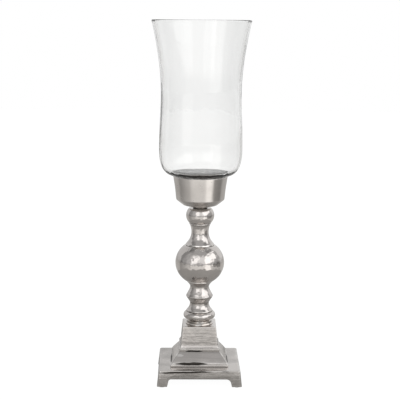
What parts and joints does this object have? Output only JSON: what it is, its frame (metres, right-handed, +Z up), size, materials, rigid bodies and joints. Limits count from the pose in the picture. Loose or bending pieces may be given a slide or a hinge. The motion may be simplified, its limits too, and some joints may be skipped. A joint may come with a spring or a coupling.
{
  "type": "hurricane candle holder",
  "caption": "Tall hurricane candle holder: clear flared glass shade standing loose in a cup on a turned metal column with a stepped square foot.",
  "frame": {"origin": "middle of the footprint, on the surface that the holder stands on", "axes": "+Z up, -Y towards the viewer, one flat side of the square foot facing -Y"},
  "size_m": [0.1672, 0.1672, 0.6111],
  "materials": {
    "polished_nickel": "cast aluminium, nickel plated and polished",
    "collar_nickel": "nickel plated, slightly tarnished",
    "zinc_steel": "zinc plated",
    "felt": "pressed felt",
    "rubber": "matt",
    "clear_glass": "clear, blown"
  },
  "bodies": {
    "stand": {"base_lock_washer": "zinc_steel", "base_nut": "zinc_steel", "base_washer": "zinc_steel", "collar": "collar_nickel", "cup": "polished_nickel", "cup_nut": "zinc_steel", "cup_spacer": "collar_nickel", "cup_washer": "zinc_steel", "foot_pad_back_left": "felt", "foot_pad_back_right": "felt", "foot_pad_front_left": "felt", "foot_pad_front_right": "felt", "globe": "polished_nickel", "lower_column": "polished_nickel", "pedestal": "polished_nickel", "plinth": "polished_nickel", "seat_ring": "rubber", "tie_rod": "zinc_steel", "upper_column": "polished_nickel"},
    "glass": {"glass_shade": "clear_glass"}
  },
  "joints": [
    {"name": "glass_lift", "type": "slide", "parent": "stand", "child": "glass", "axis": [0, 0, 1], "range_m": [0, 0.06]}
  ]
}
